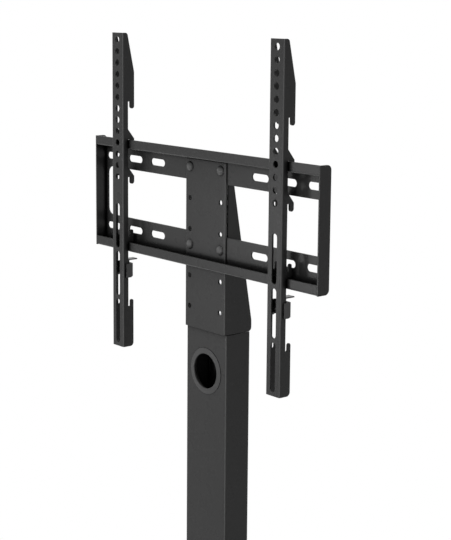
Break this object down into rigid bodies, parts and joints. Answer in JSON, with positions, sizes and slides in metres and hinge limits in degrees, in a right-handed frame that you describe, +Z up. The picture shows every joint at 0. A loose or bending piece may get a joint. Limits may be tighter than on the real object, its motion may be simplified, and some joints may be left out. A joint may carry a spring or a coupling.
{
  "type": "television floor stand with mount",
  "caption": "Free-standing floor stand with a swivelling head and sliding, hooked arms that carry a flat television by its rear fixing holes.",
  "frame": {"origin": "on the floor, under the centre of the base plate", "axes": "+Z up, -Y towards the viewer of the television (the front), +X to the right seen from the front"},
  "size_m": [0.6, 0.4, 1.365],
  "materials": {
    "powder": "fine satin powder coat",
    "powder_dark": "satin powder coat",
    "grommet": "moulded, matt",
    "rubber": "matt",
    "zinc": "zinc plated",
    "nylon": "plain, black"
  },
  "bodies": {
    "stand": {"base_plate": "powder", "base_pads": "rubber", "foot_flange": "powder", "foot_screws": "zinc", "column": "powder", "upper_cable_grommet": "grommet", "lower_cable_grommet": "grommet", "column_cap": "powder", "pivot_bolt": "zinc", "pivot_washer": "zinc", "pivot_nut": "zinc", "friction_disc": "nylon", "stop_pin": "zinc"},
    "head": {"swivel_plate": "powder", "head_bracket": "powder", "mounting_frame": "powder", "frame_end_left": "powder", "frame_end_right": "powder", "frame_bolts": "powder_dark", "frame_washers": "zinc", "frame_nuts": "zinc"},
    "left_arm": {"arm_left": "powder"},
    "right_arm": {"arm_right": "powder"},
    "left_lock": {"lock_slider_left": "powder_dark", "lock_pin_left": "powder_dark"},
    "right_lock": {"lock_slider_right": "powder_dark", "lock_pin_right": "powder_dark"}
  },
  "joints": [
    {"name": "swivel", "type": "hinge", "parent": "stand", "child": "head", "pos_m": [0, 0.04, 0.993], "axis": [0, 0, 1], "range_deg": [-35, 35]},
    {"name": "left_arm_slide", "type": "slide", "parent": "head", "child": "left_arm", "axis": [1, 0, 0], "range_m": [-0.0475, 0.1075]},
    {"name": "right_arm_slide", "type": "slide", "parent": "head", "child": "right_arm", "axis": [1, 0, 0], "range_m": [-0.1045, 0.0505]},
    {"name": "left_lock_slide", "type": "slide", "parent": "left_arm", "child": "left_lock", "axis": [0, 0, 1], "range_m": [0, 0.008]},
    {"name": "right_lock_slide", "type": "slide", "parent": "right_arm", "child": "right_lock", "axis": [0, 0, 1], "range_m": [0, 0.008]}
  ]
}
